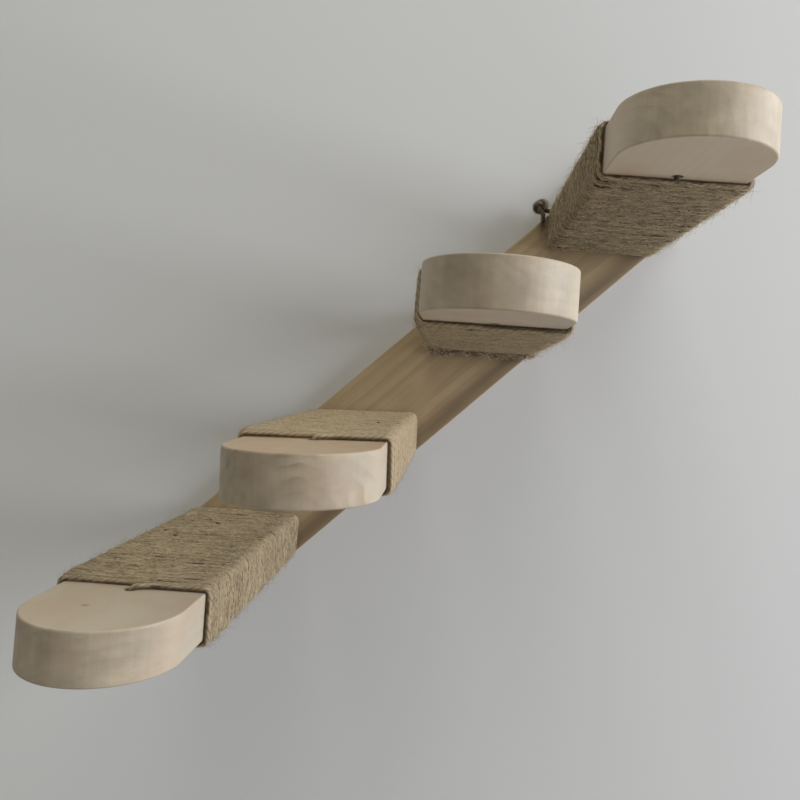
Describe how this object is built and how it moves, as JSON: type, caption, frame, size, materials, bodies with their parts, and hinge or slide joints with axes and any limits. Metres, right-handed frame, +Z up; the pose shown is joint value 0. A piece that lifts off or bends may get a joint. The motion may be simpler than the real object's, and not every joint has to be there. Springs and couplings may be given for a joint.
{
  "type": "cat stairs",
  "caption": "Wall-hung cat stairs: a slanting wooden backboard carries round-nosed wooden treads, each wound with jute rope up to its bare tip.",
  "frame": {"origin": "middle of the backboard's back face, in the wall plane, which is also the middle of the middle hanger plate", "axes": "+Y into the wall, +Z up, +X to the right as seen from the room; the stairs rise towards +X and the treads reach towards -Y"},
  "size_m": [0.5652, 0.4102, 0.551],
  "materials": {
    "tread_wood": "pale softwood, sanded smooth, unvarnished",
    "board_wood": "planed softwood board, darker with age, unvarnished",
    "rope": "three-strand jute, dry and fibrous",
    "screw_steel": "zinc plated, dull",
    "plate_steel": "zinc plated sheet, dull",
    "dowel_wood": "turned hardwood, bare"
  },
  "bodies": {
    "root": {"backboard": "board_wood", "tread_1": "tread_wood", "tread_2": "tread_wood", "tread_3": "tread_wood", "tread_4": "tread_wood", "rope_1": "rope", "rope_2": "rope", "rope_3": "rope", "rope_4": "rope", "rope_knot": "rope", "tread_screws_1": "screw_steel", "tread_screws_2": "screw_steel", "tread_screws_3": "screw_steel", "tread_screws_4": "screw_steel", "dowels_1": "dowel_wood", "dowels_2": "dowel_wood", "dowels_3": "dowel_wood", "dowels_4": "dowel_wood", "hanger_1": "plate_steel", "hanger_2": "plate_steel", "hanger_3": "plate_steel", "hanger_screws": "screw_steel"}
  },
  "joints": []
}
